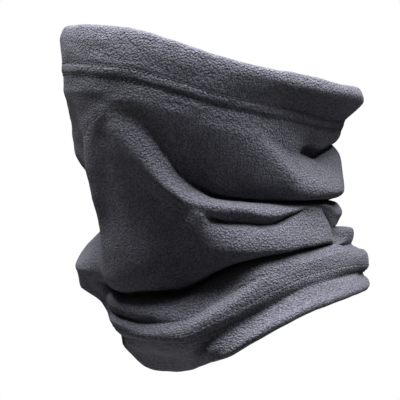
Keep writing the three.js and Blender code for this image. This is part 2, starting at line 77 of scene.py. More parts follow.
# The lines along which the tube folds, from the top edge down: azimuth in degrees, reach from the neck's
# axis and height. The CAD has the same folds, drawn plainer and with shallower valleys. A line with a
# number after its name is a valley, and its points also say how tightly its folds lie, from 0, open, to
# 1, pressed together. The number is how far the fold above droops over a tight valley, as a share of the
# valley's depth. A line whose name ends in _belly is the lower part of the roll above it.
FOLD_LINES = (
    ("top_edge", None, (
        (-90, 80, 184), (-60, 85, 196), (-35, 95, 205.3), (0, 99.5, 209.5), (20, 96.3, 207.6),
        (40, 92, 199.2), (55, 88, 191.3), (75, 85, 183.7), (95, 85.5, 179.3), (115, 88.5, 173.4),
        (130, 91, 171), (145, 92, 166.5), (180, 90, 159), (225, 86, 171))),
    ("top_rim", None, (
        (-90, 84, 178), (-60, 87.5, 190), (-35, 97, 198.5), (0, 102.5, 201), (20, 99, 199),
        (40, 93.3, 191), (55, 89, 184), (75, 86.3, 177), (95, 87, 171), (115, 90, 166.5), (130, 93, 163),
        (145, 93.5, 159.5), (180, 94, 151), (225, 91, 164))),
    ("top_stitch_upper", None, (
        (-90, 83, 162), (-60, 87, 174), (-35, 94.2, 182), (0, 103.7, 186), (20, 100.8, 184),
        (40, 93.3, 176), (55, 87.7, 168), (75, 81.5, 161.8), (95, 77.5, 156.7), (115, 77.5, 150.5),
        (145, 82, 148), (180, 85, 141), (225, 87, 150))),
    ("top_stitch_lower", None, (
        (-90, 82, 156), (-60, 86, 168), (-35, 93.2, 175), (0, 103.8, 179), (20, 100.6, 177),
        (40, 93.2, 169), (55, 86.9, 162), (75, 80.5, 155.2), (95, 76, 150.3), (115, 75.5, 145.5),
        (145, 80, 142.5), (180, 81, 135), (225, 84, 144))),
    ("nape_pinch", 0.1, (
        (-90, 78, 146, 1), (-60, 84, 157, 1), (-35, 93, 164, 0), (0, 103.5, 169, 0), (20, 100.7, 169, 0),
        (40, 93.6, 164.8, 0), (55, 87, 156.5, 0), (70, 81.8, 149.5, 0), (81, 78, 139.2, 0),
        (95, 74.2, 130.6, 0.2), (108, 65.5, 130.5, 0.5), (118, 63, 127.5, 0.7), (130, 67, 131, 0.8),
        (145, 72, 135.5, 1), (180, 74, 126, 1), (225, 75, 134, 1))),
    ("cheek_roll", None, (
        (-90, 86, 130), (-60, 90, 141), (-35, 92.8, 148), (-20, 93, 149), (-8, 97, 152), (2, 101, 156),
        (12, 101.6, 163.5), (25, 99.5, 164.5), (38, 94, 158), (48, 88.6, 150), (61, 84.3, 144.5),
        (70, 81.7, 139.5), (81, 80.6, 129), (93, 82.3, 115), (115, 85, 107), (145, 81.2, 104),
        (180, 86, 103), (225, 87, 112))),
    ("cheek_belly", None, (
        (-90, 84, 122), (-60, 87, 134), (-35, 92.3, 143), (-20, 91, 142), (-8, 95, 146), (2, 100.5, 149),
        (12, 101.4, 159.5), (19, 100.3, 162.5), (26, 98.2, 159.5), (34, 93.6, 147.5), (40, 88.2, 136),
        (47, 81.8, 123.5), (55, 79, 118), (66, 76, 112.5), (77, 76.3, 109.8), (95, 81, 105.5),
        (106, 83, 104), (145, 80, 101), (180, 83, 96), (225, 84, 103))),
    ("cheek_crease", 0.0, (
        (-90, 68, 108, 1), (-60, 76, 122, 1), (-35, 92, 138, 0), (-20, 89, 135, 0), (-8, 92, 138, 0),
        (2, 99.5, 142, 0), (12, 100.9, 154, 0), (19, 99.4, 158, 0), (26, 96.6, 153, 0),
        (34, 89.6, 135, 0), (40, 82.5, 119.8, 0.1), (47, 74.3, 111.8, 0.5), (55, 68.5, 106.3, 1),
        (77, 62, 103, 1), (106, 62, 101, 1), (145, 68, 98, 1), (180, 70, 90, 1), (225, 68, 97, 1))),
    ("upper_roll", None, (
        (-90, 85, 98), (-60, 86, 110), (-35, 89.8, 125), (-20, 86, 123), (-10, 86, 121), (2, 98.3, 126),
        (12, 98.6, 146.5), (18, 100, 143), (27, 98.2, 128.5), (38, 93.3, 111.5), (45, 89.1, 105.3),
        (54, 86, 102.2), (66, 84.1, 99.8), (79, 82.5, 96.2), (90, 80.2, 97.7), (103, 78.6, 99.5),
        (113, 80.8, 98.2), (125, 80.7, 92.5), (145, 81, 89), (180, 85, 82), (225, 86, 89))),
    ("upper_belly", None, (
        (-90, 81, 94), (-60, 82, 106), (-35, 86.5, 119.5), (-20, 82.5, 116), (-10, 83, 114),
        (2, 96.6, 117), (12, 97.2, 139), (19, 97.5, 132.5), (28, 94.8, 118.5), (38, 91.6, 106),
        (45, 89, 101.8), (54, 85.6, 97.4), (66, 83.4, 96.2), (79, 81.6, 93.2), (90, 79.4, 95.4),
        (103, 79, 98.4), (113, 79.6, 95), (125, 79.3, 88), (145, 79, 85), (180, 81, 78.5),
        (225, 82, 85))),
    ("upper_crease", 0.2, (
        (-90, 72, 88, 1), (-60, 72, 98, 0.6), (-35, 79, 111, 0), (-20, 75, 104, 0), (-10, 77, 102, 0),
        (2, 93.5, 104, 0), (12, 94.9, 128, 0), (20, 92.5, 118, 0), (30, 90.3, 107, 0), (40, 88.6, 99, 0),
        (48, 88.1, 97.3, 0), (54, 80.5, 94.3, 0.4), (59, 71, 93.2, 0.9), (69, 62, 93, 1),
        (79, 64, 91.8, 1), (89, 77, 94.6, 0.4), (98, 78.9, 97.1, 0), (107, 79.9, 97.1, 0),
        (114, 78, 91.3, 0.7), (122, 77.6, 83.3, 0.9), (145, 75, 80, 1), (180, 73, 74, 1),
        (225, 71, 80, 1))),
    ("jaw_roll", None, (
        (-90, 87, 78), (-60, 76, 82), (-35, 70, 80), (-22, 71, 84), (-10, 74.5, 86), (2, 88.6, 88),
        (15, 89.6, 98), (25, 86.8, 94), (35, 86.5, 93), (45, 87.5, 90.3), (60, 84, 89.3), (76, 83, 87.2),
        (95, 82.5, 88), (110, 83, 85), (117, 81, 80), (124, 77, 77), (130, 78.5, 75.5), (138, 86, 78.8),
        (145, 88, 78.3), (180, 87, 71), (225, 88, 70))),
    ("chin_roll", None, (
        (-90, 84, 70), (-60, 88, 66), (-35, 90.7, 54.5), (-24, 88, 55), (-10, 80, 58), (2, 86, 65.5),
        (12, 87.3, 63.5), (22, 85.8, 63.5), (32, 82, 68.8), (42, 80.5, 71.3), (52, 84.5, 74.5),
        (65, 87, 75), (80, 87, 74.4), (95, 86.5, 76.2), (110, 85, 76.6), (119, 81, 72), (130, 82, 72),
        (145, 88, 72), (180, 84, 66), (225, 85, 63))),
    ("jaw_crease", 0.0, (
        (-90, 70, 62, 1), (-60, 76, 58, 0.7), (-35, 89.3, 50.5, 0), (-20, 82, 49, 0.4),
        (-8, 70, 45, 0.9), (5, 69, 42, 1), (15, 65, 44.5, 1), (25, 57, 45.5, 1), (35, 56, 46.5, 1),
        (45, 58, 52, 1), (55, 60, 60, 1), (65, 64, 66.5, 1), (78, 71, 71, 1), (96, 74, 74, 1),
        (115, 77, 74, 1), (130, 80, 70, 1), (145, 87, 69, 1), (180, 74, 61, 1), (225, 70, 57, 1))),
    ("collar_roll", None, (
        (-90, 84, 54), (-60, 86, 47), (-35, 87.2, 40.6), (-20, 74.5, 38), (0, 78.2, 38), (20, 80.8, 35),
        (40, 80.7, 35.6), (55, 80, 47.5), (75, 86.5, 63.3), (95, 87.5, 68.5), (115, 88.5, 71),
        (145, 88, 67.5), (180, 87, 57), (225, 86, 53))),
    ("collar_crease", 0.1, (
        (-90, 76, 48, 1), (-60, 76, 38, 0.7), (-35, 73.5, 33, 0), (-15, 74, 30.5, 0.3),
        (0, 72.5, 29, 0.6), (20, 78, 29.2, 0.5), (40, 82, 32.4, 0.3), (55, 82, 45, 0.3),
        (75, 87.2, 61, 0.5), (95, 88.6, 67.3, 0.5), (115, 90, 70, 0.5), (145, 91.3, 65.8, 1),
        (180, 83, 54, 1), (225, 78, 49.5, 1))),
    ("hem_roll", None, (
        (-90, 86, 46), (-60, 80, 36), (-35, 69, 25.5), (-15, 73, 26.5), (0, 78.3, 26), (20, 81.3, 25.6),
        (40, 86.6, 28.6), (55, 89.3, 41), (75, 89, 58), (95, 89.4, 64.6), (115, 91.6, 66.8),
        (145, 97.3, 62.5), (180, 95, 51), (225, 91, 46))),
    ("bottom_stitch_upper", None, (
        (-90, 88, 40), (-60, 77, 30), (-35, 65, 20), (0, 75.5, 21.5), (20, 82.3, 22.6), (40, 87.6, 25.5),
        (55, 90.6, 36.6), (75, 90.4, 51.7), (95, 89.9, 60), (115, 92.6, 61.5), (145, 98, 55.5),
        (180, 97, 44), (200, 96, 38), (225, 94, 40))),
    ("bottom_stitch_lower", None, (
        (-90, 87, 34), (-60, 74, 23), (-35, 60, 14), (0, 69, 15), (20, 77.5, 18), (40, 85.3, 20),
        (55, 88.8, 29), (75, 89, 42.3), (95, 90.8, 54), (115, 91.5, 55.2), (145, 95.3, 52),
        (180, 95, 38), (200, 94, 32), (225, 92, 34))),
    ("hem_dip", 0.1, (
        (-90, 86, 29, 0), (-60, 71.5, 17.5, 0), (-35, 58.5, 9.5, 0), (0, 66, 10.5, 0),
        (20, 72.5, 12.5, 0), (40, 80, 14, 0), (55, 87.8, 25.5, 0), (75, 90, 40.5, 0), (95, 92, 51.8, 0),
        (115, 93.8, 53.4, 0), (145, 92, 50, 0.1), (180, 94.2, 32.5, 0), (200, 93.5, 26, 0),
        (225, 91.5, 28, 0))),
    ("hem_band", None, (
        (-90, 86.5, 21), (-60, 68, 11), (-35, 60.3, 3.6), (0, 58, 4.5), (20, 59.5, 5.5), (40, 72, 8.5),
        (55, 90.5, 18.7), (75, 94.2, 36.7), (95, 96.2, 46.8), (115, 97.5, 49.8), (145, 97, 46.5),
        (180, 95.8, 27.5), (200, 94.5, 20.5), (225, 92, 21))),
    ("bottom_edge", None, (
        (-90, 80, 11), (-60, 62, 2), (-35, 51, -5.2), (0, 48, -8.4), (20, 47, -7.4), (38, 56, -3.3),
        (50, 79, 5.6), (58, 93, 13.6), (66, 98, 24.4), (79, 101, 36.4), (92, 101, 42.3),
        (105, 101, 44.9), (125, 100.5, 45), (145, 98.7, 42.5), (160, 98, 33.5), (180, 95.5, 21.5),
        (200, 93.5, 13), (225, 90, 12))),
)

FLANK_HEIGHT = 0.26     # where a valley's two flanks lie, as a share of the way up to its crests
FLANK_REACH = 0.72      # and how far out they stand, as a share of its depth
DEEP_VALLEY = 8.0       # a valley this deep has full flanks; a shallower one fades to none


# ---- the folded shape -----------------------------------------------------------------------------------

def unit(vectors):
    return vectors / np.linalg.norm(vectors, axis=-1, keepdims=True)


def smooth_step(x):
    x = np.clip(x, 0, 1)
    return x * x * (3 - 2 * x)


def value_around(points, which, azimuths):
    """A smooth value all the way round from a fold line's points. Which is 1 for reach, 2 for height and
    3 for tightness."""
    at = np.array([p[0] for p in points], float)
    value = np.array([p[which] for p in points], float)
    at = np.concatenate([at[-2:] - 360, at, at[:3] + 360])
    value = np.concatenate([value[-2:], value, value[:3]])
    span = np.diff(at)
    rise = np.diff(value) / span
    slope = np.zeros_like(value)
    for i in range(1, len(value) - 1):
        a, b = rise[i - 1], rise[i]
        if a * b <= 0:
            # At a peak or a dip of the line, a little slope is left, which makes it less even.
            slope[i] = 0.25 * (a + b)
        else:
            wa, wb = 2 * span[i] + span[i - 1], span[i] + 2 * span[i - 1]
            slope[i] = (wa + wb) / (wa / a + wb / b)
    azimuths = (azimuths - at[1]) % 360 + at[1]
    i = np.clip(np.searchsorted(at, azimuths, side="right") - 1, 1, len(at) - 3)
    t = (azimuths - at[i]) / span[i]
    return ((2 * t**3 - 3 * t**2 + 1) * value[i] + (t**3 - 2 * t**2 + t) * span[i] * slope[i]
            + (3 * t**2 - 2 * t**3) * value[i + 1] + (t**3 - t**2) * span[i] * slope[i + 1])


def knots_around(azimuths):
    """The points that each profile of the outer face passes through, and their names: every fold line,
    and a flank on each side of every valley. Array of profile, knot, (reach, height)."""
    reach = [value_around(points, 1, azimuths) for _, _, points in FOLD_LINES]
    height = [value_around(points, 2, azimuths) + ORIGIN_DROP for _, _, points in FOLD_LINES]
    knots, names = [], []
    for i, (name, droop, points) in enumerate(FOLD_LINES):
        here = [(reach[i], height[i], name)]
        if droop is not None:
            flanks = []
            tightness = value_around(points, 3, azimuths)
            for j, side in ((i - 1, "_lip"), (i + 1, "_step")):
                depth = reach[j] - reach[i]
                deep = smooth_step(depth / DEEP_VALLEY) * tightness
                share = FLANK_HEIGHT + (FLANK_REACH - FLANK_HEIGHT) * deep
                up = height[i] + FLANK_HEIGHT * (height[j] - height[i])
                if j < i:
                    up = up - droop * depth * deep
                flanks.append((reach[i] + share * depth, up, name + side))
            here = [flanks[0], here[0], flanks[1]]
        for r, z, knot_name in here:
            knots.append(np.stack([r, z], -1))
            names.append(knot_name)
    knots = np.stack(knots, 1)
    # The first and last knots give way to the round of each hem's fold.
    for end, inner in ((0, 1), (-1, -2)):
        knots[:, end] += unit(knots[:, inner] - knots[:, end]) * HEM_ROUND
    return knots, names


def row_fractions(names, lengths):
    """For each stretch between two knots, where its rows of points lie, from 0 to 1."""
    fractions = []
    for i, length in enumerate(lengths):
        ends = (names[i], names[i + 1])
        fine = ["stitch" in end for end in ends]
        if all(fine) or (any(fine) and length < 2 * FINE_REACH):
            count = max(2, round(length / FINE_STEP))
            fractions.append(np.arange(count) / count)
        elif any(fine):
            # Coarse steps, then fine ones.
            far = 1 - FINE_REACH / length
            coarse = np.linspace(0, far, round(length * far / ROW_STEP), endpoint=False)
            near = np.linspace(far, 1, round(FINE_REACH / FINE_STEP), endpoint=False)
            fractions.append(np.concatenate([coarse, near]))
        else:
            count = max(2, round(length / ROW_STEP))
            fractions.append(np.arange(count) / count)
    return fractions


def through_knots(knots, fractions):
    """Centripetal Catmull-Rom curves through the knots of each profile."""
    ends = [2 * knots[:, :1] - knots[:, 1:2], knots, 2 * knots[:, -1:] - knots[:, -2:-1]]
    padded = np.concatenate(ends, 1)
    gaps = np.sqrt(np.maximum(np.linalg.norm(np.diff(padded, axis=1), axis=-1), CLOSEST_KNOTS))
    rows = []
    for s, shares in enumerate(fractions):
        p0, p1, p2, p3 = (padded[:, s + k] for k in range(4))
        t1 = gaps[:, s]
        t2 = t1 + gaps[:, s + 1]
        t3 = t2 + gaps[:, s + 2]
        t0 = np.zeros_like(t1)

        def between(a, b, ta, tb, t):
            return a * ((tb - t) / (tb - ta))[:, None] + b * ((t - ta) / (tb - ta))[:, None]

        for share in shares:
            t = t1 + (t2 - t1) * share
            a1, a2, a3 = between(p0, p1, t0, t1, t), between(p1, p2, t1, t2, t), between(p2, p3, t2, t3, t)
            b1, b2 = between(a1, a2, t0, t2, t), between(a2, a3, t1, t3, t)
            rows.append(between(b1, b2, t1, t2, t))
    rows.append(knots[:, -1])
    return np.stack(rows, 1)


def in_space(profile, azimuths):
    angle = np.radians(azimuths)[:, None]
    reach = profile[..., 0]
    return np.stack([reach * np.sin(angle), -reach * np.cos(angle), profile[..., 1]], -1)


def outward_normals(grid):
    """Unit normals of a grid that closes on itself in its first direction and runs down in its second."""
    around = np.roll(grid, -1, 0) - np.roll(grid, 1, 0)
    down = np.gradient(grid, axis=1)
    return unit(np.cross(down, around))


def noise_field(points, size, seed):
    """Smooth noise, about -1 to 1, with bumps of the given size. Each seed reads another part of it."""
    shift = Vector((seed * 17.3, seed * -9.1, seed * 5.7))
    flat = points.reshape(-1, 3) / size
    values = [noise.noise(Vector(p) + shift) for p in flat]
    return np.array(values).reshape(points.shape[:-1]) * NOISE_GAIN


class OuterFace:
    """The outer face of the folded cloth as a grid of columns round the tube and rows down it."""

    def __init__(self):
        self.azimuths = SEAM_AZIMUTH + np.arange(COLUMNS) * 360 / COLUMNS
        knots, names = knots_around(self.azimuths)
        lengths = np.linalg.norm(np.diff(knots, axis=1), axis=-1).mean(0)
        fractions = row_fractions(names, lengths)
        starts = np.concatenate([[0], np.cumsum([len(f) for f in fractions])])
        self.row = dict(zip(names, starts.tolist()))
        smooth = in_space(through_knots(knots, fractions), self.azimuths)
        normals = outward_normals(smooth)
        steps = np.linalg.norm(np.diff(smooth, axis=1), axis=-1)
        self.along = np.concatenate([np.zeros((COLUMNS, 1)), np.cumsum(steps, 1)], 1)
        self.grid = smooth + normals * (self.creasing(smooth) + self.sewing())[..., None]
        self.normals = outward_normals(self.grid)
        self.seam_inward = self.relaxed_inward()

    def relaxed_inward(self):
        """The way the seam allowance stands at each row. It fans out less than the folds do."""
        inward = -self.normals[0]
        for _ in range(SEAM_RELAX_STEPS):
            inward[1:-1] += (inward[:-2] + inward[2:] - 2 * inward[1:-1]) / 4
        inward[:, 0] = 0
        return unit(inward)

    def at_seam(self, row, depth, across):
        """A point of the seam allowance at a fractional row: how far in, and how far across."""
        k = int(row)
        share = row - k
        place = (1 - share) * self.grid[0, k] + share * self.grid[0, k + 1]
        inward = (1 - share) * self.seam_inward[k] + share * self.seam_inward[k + 1]
        return place + inward * depth + (across, 0, 0)

    def at(self, column, row, depth):
        """The point at a fractional column and row, that far in from the outer face."""
        c, r = int(column), int(row)
        across, down = column - c, row - r
        point = np.zeros(3)
        for i, wi in ((c, 1 - across), (c + 1, across)):
            for k, wk in ((r, 1 - down), (r + 1, down)):
                point += wi * wk * (self.grid[i % COLUMNS, k] - depth * self.normals[i % COLUMNS, k])
        return point

    def distance(self, name):
        """How far each point is below a fold line, along the cloth."""
        return self.along - self.along[:, self.row[name]][:, None]

    def creasing(self, points):
        """The small unevenness of soft cloth: broad dents, and smaller ones that are wider than tall."""
        return sum(height * noise_field(points * (1, 1, width), size, seed)
                   for height, size, seed, width in DENTS)

    def sewing(self):
        """What the stitches do to the cloth: grooves, and a puffed band between each pair of rows."""
        rise = np.zeros_like(self.along)
        for upper, lower, hem in (("top_stitch_upper", "top_stitch_lower", -1),
                                  ("bottom_stitch_upper", "bottom_stitch_lower", 1)):
            from_upper, from_lower = self.distance(upper), self.distance(lower)
            for d in (from_upper, from_lower):
                rise -= GROOVE_DEPTH * np.exp(-(d / GROOVE_HALF_WIDTH) ** 2)
            middle = (from_upper + from_lower) / 2
            rise += PUFF_HEIGHT * np.exp(-(middle / PUFF_HALF_WIDTH) ** 4)
            # A hem is two layers thick, so its face stands a little higher than the single cloth.
            inner = from_lower if hem < 0 else from_upper
            rise += HEM_STEP_HEIGHT * smooth_step(0.5 + hem * inner / HEM_STEP_WIDTH)
        return rise


# ---- meshes ---------------------------------------------------------------------------------------------

def add_mesh(name, points, faces, material, smooth=True):
    """A new object from points in millimetres."""
    mesh = bpy.data.meshes.new(name)
    mesh.from_pydata((np.asarray(points) * MM).tolist(), [], faces)
    mesh.update()
    mesh.polygons.foreach_set("use_smooth", [smooth] * len(mesh.polygons))
    mesh.materials.append(material)
    piece = bpy.data.objects.new(name, mesh)
    bpy.context.scene.collection.objects.link(piece)
    return piece


def tube_points(path, radii, sides):
    """Rings of points round a path, and the faces of the closed tube through them."""
    path = np.asarray(path, float)
    tangent = np.gradient(path, axis=0)
    tangent /= np.maximum(np.linalg.norm(tangent, axis=1, keepdims=True), 1e-9)
    side = np.cross(tangent[0], (0, 0, 1.0))
    if np.linalg.norm(side) < 0.3:
        side = np.cross(tangent[0], (1.0, 0, 0))
    rings = []
    for place, along, radius in zip(path, tangent, np.broadcast_to(radii, len(path))):
        side = side - along * (side @ along)
        side /= np.linalg.norm(side)
        other = np.cross(along, side)
        turn = np.arange(sides) * 2 * math.pi / sides
        rings.append(place + radius * (np.cos(turn)[:, None] * side + np.sin(turn)[:, None] * other))
    points = np.concatenate(rings)
    faces = []
    for i in range(len(path) - 1):
        for k in range(sides):
            a, b = i * sides + k, i * sides + (k + 1) % sides
            faces.append((a, b, b + sides, a + sides))
    faces.append(tuple(range(sides))[::-1])
    last = (len(path) - 1) * sides
    faces.append(tuple(range(last, last + sides)))
    return points, faces


def add_tubes(name, paths, radii, sides, material):
    """One piece made of many short closed tubes."""
    points, faces, count = [], [], 0
    for path in paths:
        more, its_faces = tube_points(path, radii, sides)
        points.append(more)
        faces += [tuple(i + count for i in face) for face in its_faces]
        count += len(more)
    return add_mesh(name, np.concatenate(points), faces, material)


# ---- the fleece panel -----------------------------------------------------------------------------------

ALLOWANCE_DEPTH = 6.8   # how far the seam allowance stands in
ALLOWANCE_GAP = 0.04    # from each half of it to the seam's middle plane

# The cloth beside the back seam: distance from the seam, how far it has turned in, and how much of a
# quarter turn it has made. The last points are the seam allowance, which stands inwards.
SEAM_PATH = ((2.6, 0.0, 0.05), (1.7, 0.2, 0.2), (1.0, 0.6, 0.5), (0.4, 1.2, 0.85), (ALLOWANCE_GAP, 2.4, 1.0),
             (ALLOWANCE_GAP, 4.6, 1.0), (ALLOWANCE_GAP, ALLOWANCE_DEPTH, 1.0))
HEM_SEAM_DEPTH = 0.2    # inside a hem the allowance is pressed flat, to this share of its depth
HEM_SEAM_TURN = 0.3     # and the cloth makes this share of its turn
SEAM_COLUMNS = 2        # columns of the outer face that the seam's own points take the place of
HEM_ROW_SKIP = 3        # the inner layer of a hem keeps every third row of points
RELAX_STEPS = 6
ROUND_TURNS = np.radians((25, 50, 75, 90, 105, 130, 155))
MIDDLE_TURNS = 0.3      # the wrong side keeps the turns whose cosine is smaller than this


def cloth_rows(face):
    """Every row of the cloth from one raw edge to the other: points of its right side, the direction
    through the cloth to its wrong side, how much of a hem each row is, which rows the wrong side keeps,
    and the way the seam allowance stands."""
    inward = -face.normals
    last = face.grid.shape[1] - 1
    rows, through, hem, keep, standing = [], [], [], [], []

    def add(points, direction, in_hem, kept, seam_direction):
        rows.append(points)
        through.append(direction)
        hem.append(in_hem)
        keep.append(kept)
        standing.append(seam_direction)

    def inner_layer(levels):
        # It doesn't follow the outer layer into its creases, so its own line is relaxed between its ends.
        points = face.grid[:, levels] + inward[:, levels] * HEM_STACK
        direction = -inward[:, levels]
        for _ in range(RELAX_STEPS):
            for field in (points, direction):
                field[:, 1:-1] += (field[:, :-2] + field[:, 2:] - 2 * field[:, 1:-1]) / 4
        direction = unit(direction)
        for k in range(len(levels)):
            add(points[:, k], direction[:, k], 1.0, True, direction[0, k])

    def fold(i, away, turns):
        centre = face.grid[:, i] + inward[:, i] * HEM_ROUND
        for turn in turns:
            spoke = -inward[:, i] * math.cos(turn) + away * math.sin(turn)
            add(centre + spoke * HEM_ROUND, -spoke, 1.0, abs(math.cos(turn)) < MIDDLE_TURNS, -spoke[0])

    up = unit(face.grid[:, 0] - face.grid[:, 1])
    down = unit(face.grid[:, last] - face.grid[:, last - 1])
    top_inner, bottom_inner = face.row["top_stitch_lower"] + 1, face.row["bottom_stitch_upper"] - 1
    inner_layer(list(range(top_inner, 0, -HEM_ROW_SKIP)) + [0])
    fold(0, up, ROUND_TURNS[::-1])
    for i in range(last + 1):
        in_hem = i <= top_inner or i >= bottom_inner
        standing_in = inward[0, i] if in_hem else face.seam_inward[i]
        add(face.grid[:, i], inward[:, i], float(in_hem), i % WRONG_SIDE_SKIP == 0, standing_in)
    fold(last, down, ROUND_TURNS)
    inner_layer([last] + list(range(bottom_inner, last, HEM_ROW_SKIP))[::-1])
    keep[0] = keep[-1] = True
    return np.stack(rows, 1), np.stack(through, 1), np.array(hem), np.array(keep), np.array(standing)


def seam_columns(rows, through, hem, standing, second, sideways):
    """The columns of cloth beside the seam, from the flat cloth to the raw edge of the allowance."""
    span = np.linalg.norm(rows[second] - rows[0], axis=-1).mean()
    depth_share = 1 - (1 - HEM_SEAM_DEPTH) * hem[:, None]
    turn_share = 1 - (1 - HEM_SEAM_TURN) * hem[:, None]
    points, directions = [], []
    for distance, depth, turn in SEAM_PATH:
        place = rows[0] + (rows[second] - rows[0]) * distance / span
        place = place + standing * depth * depth_share
        angle = turn * math.pi / 2 * turn_share
        points.append(place)
        directions.append(through[0] * np.cos(angle) + sideways * np.sin(angle))
    return points, directions


def fleece_panel(face, material):
    """The whole cloth as one closed piece: its right side, its wrong side and the raw edges between."""
    rows, through, hem, keep, standing = cloth_rows(face)
    after, after_dir = seam_columns(rows, through, hem, standing, SEAM_COLUMNS, np.array((-1.0, 0, 0)))
    before, before_dir = seam_columns(rows, through, hem, standing, -SEAM_COLUMNS, np.array((1.0, 0, 0)))
    middle = slice(SEAM_COLUMNS + 1, COLUMNS - SEAM_COLUMNS)
    right = np.concatenate([after[::-1], rows[middle], before])
    direction = np.concatenate([after_dir[::-1], through[middle], before_dir])
    wrong = (right + direction * CLOTH)[:, keep]
    columns, row_count = right.shape[:2]
    kept = np.flatnonzero(keep)
    wrong_count = len(kept)
    offset = columns * row_count
    faces = []
    for c in range(columns - 1):
        a, b = c * row_count, (c + 1) * row_count
        faces += [(a + r, a + r + 1, b + r + 1, b + r) for r in range(row_count - 1)]
        a, b = offset + c * wrong_count, offset + (c + 1) * wrong_count
        faces += [(a + r + 1, a + r, b + r, b + r + 1) for r in range(wrong_count - 1)]
        for r, w in ((0, 0), (row_count - 1, wrong_count - 1)):
            edge = (c * row_count + r, (c + 1) * row_count + r, b + w, a + w)
            faces.append(edge if r == 0 else edge[::-1])
    for c in (0, columns - 1):
        for w in range(wrong_count - 1):
            ring = [c * row_count + r for r in range(kept[w], kept[w + 1] + 1)]
            ring += [offset + c * wrong_count + w + 1, offset + c * wrong_count + w]
            faces.append(tuple(ring[::-1] if c == 0 else ring))
    return add_mesh("fleece_panel_cloth", np.concatenate([right.reshape(-1, 3), wrong.reshape(-1, 3)]),
                    faces, material)


# ---- threads --------------------------------------------------------------------------------------------

STITCH = 3.0            # from one needle hole to the next
NEEDLE_THREAD = 0.17    # radii of the threads
LOOPER_THREAD = 0.21
OVERLOCK_LINE = 3.3     # the needle line of the back seam, in from the outer face
ALLOWANCE_SIDE = 0.05 + CLOTH + LOOPER_THREAD   # where the loops lie, across from the middle plane


def needle_holes(face, upper, lower):
    """The columns of the needle holes of a hem, as fractions, one stitch apart all the way round."""
    loop = (face.grid[:, face.row[upper]] + face.grid[:, face.row[lower]]) / 2
    steps = np.linalg.norm(np.roll(loop, -1, 0) - loop, axis=1)
    walked = np.concatenate([[0], np.cumsum(steps)])
    count = round(walked[-1] / STITCH)
    return np.interp(np.arange(count + 1) * walked[-1] / count, walked, np.arange(COLUMNS + 1))


def needle_thread(name, face, row, holes, material):
    """A row of stitches: each comes up through one hole, lies in the groove and goes down the next."""
    shares = (0.04, 0.07, 0.15, 0.35, 0.5, 0.65, 0.85, 0.93, 0.96)
    depths = (0.8, 0.3, -0.1, -0.3, -0.34, -0.3, -0.1, 0.3, 0.8)
    level = face.row[row]
    paths = [[face.at(start + (end - start) * share, level, depth) for share, depth in zip(shares, depths)]
             for start, end in zip(holes[:-1], holes[1:])]
    return add_tubes(name, paths, NEEDLE_THREAD, 6, material)


def looper_thread(name, face, upper, lower, holes, material):
    """The net inside a hem: along the upper row, across, along the lower row and back, stitch by stitch."""
    top, bottom = face.row[upper], face.row[lower]
    near = HEM_STACK + LOOPER_THREAD
    turns = ((0.0, 0.0, 0.0), (0.4, 0.0, 0.25), (0.75, 0.02, 0.1), (0.62, 0.35, 0.3), (0.45, 0.65, 0.3),
             (0.25, 0.98, 0.1), (0.6, 1.0, 0.25), (1.0, 1.0, 0.0), (1.0, 0.65, 0.0), (1.0, 0.35, 0.0))
    path = [face.at(start + (end - start) * along, top + (bottom - top) * across, near + lift)
            for start, end in zip(holes[:-1], holes[1:]) for along, across, lift in turns]
    return add_tubes(name, [path], LOOPER_THREAD, 6, material)


def seam_rows(face):
    """The rows of the overlock stitches down the back seam, as fractions, from hem to hem."""
    first, last = face.row["top_stitch_lower"] + 3, face.row["bottom_stitch_upper"] - 3
    walked = face.along[0, first:last + 1] - face.along[0, first]
    count = round(walked[-1] / STITCH)
    return np.interp(np.arange(count + 1) * walked[-1] / count, walked, np.arange(first, last + 1))


def overlock_thread(name, face, rows, turns, radius, material):
    """One thread of the overlocked seam. Each turn says how far along its stitch it is, how far in from
    the outer face, and how far across from the seam."""
    path = []
    for start, end in zip(rows[:-1], rows[1:]):
        for along, depth, across in turns:
            path.append(face.at_seam(start + (end - start) * along, depth, across))
    return add_tubes(name, [path], radius, 6, material)


def overlock_threads(face, needle_material, looper_material):
    """The needle thread and the two loopers that bind the two edges of the allowance."""
    rows = seam_rows(face)
    edge, side = ALLOWANCE_DEPTH + LOOPER_THREAD, ALLOWANCE_SIDE
    needle = ((0.0, OVERLOCK_LINE, side), (0.08, OVERLOCK_LINE, side - 0.3), (0.16, OVERLOCK_LINE, side),
              (0.5, OVERLOCK_LINE, side + 0.2), (0.84, OVERLOCK_LINE, side))
    pieces = [overlock_thread("back_seam_needle_stitches", face, rows, needle, NEEDLE_THREAD,
                              needle_material)]
    for name, way in (("back_seam_upper_loops", 1), ("back_seam_lower_loops", -1)):
        turns = ((0.0, edge + 0.1, 0.0), (0.1, edge, way * side * 0.6), (0.18, edge - 0.3, way * side),
                 (0.35, 5.0, way * (side + 0.1)), (0.47, OVERLOCK_LINE + 0.3, way * (side + 0.25)),
                 (0.55, OVERLOCK_LINE + 0.3, way * (side + 0.25)), (0.68, 5.0, way * (side + 0.1)),
                 (0.84, edge - 0.3, way * side), (0.92, edge, way * side * 0.6))
        pieces.append(overlock_thread(name, face, rows, turns, LOOPER_THREAD, looper_material))
    return pieces


# ---- the care label -------------------------------------------------------------------------------------

LABEL_LENGTH = 13.0     # folded
LABEL_HEIGHT = 20.0
LABEL_TAPE = 0.24       # thickness of the tape
LABEL_LOOP = 0.75       # radius of the fold
LABEL_ROOT = 5.4        # where it leaves the seam, in from the outer face
LABEL_TOP = 118.5 + ORIGIN_DROP  # height of its upper end
LABEL_BEND = 1.6        # how far its fold leans to one side
LABEL_RIPPLE = 0.25     # height of the waves in it
LABEL_WAVE = 3.6        # their length divided by two pi


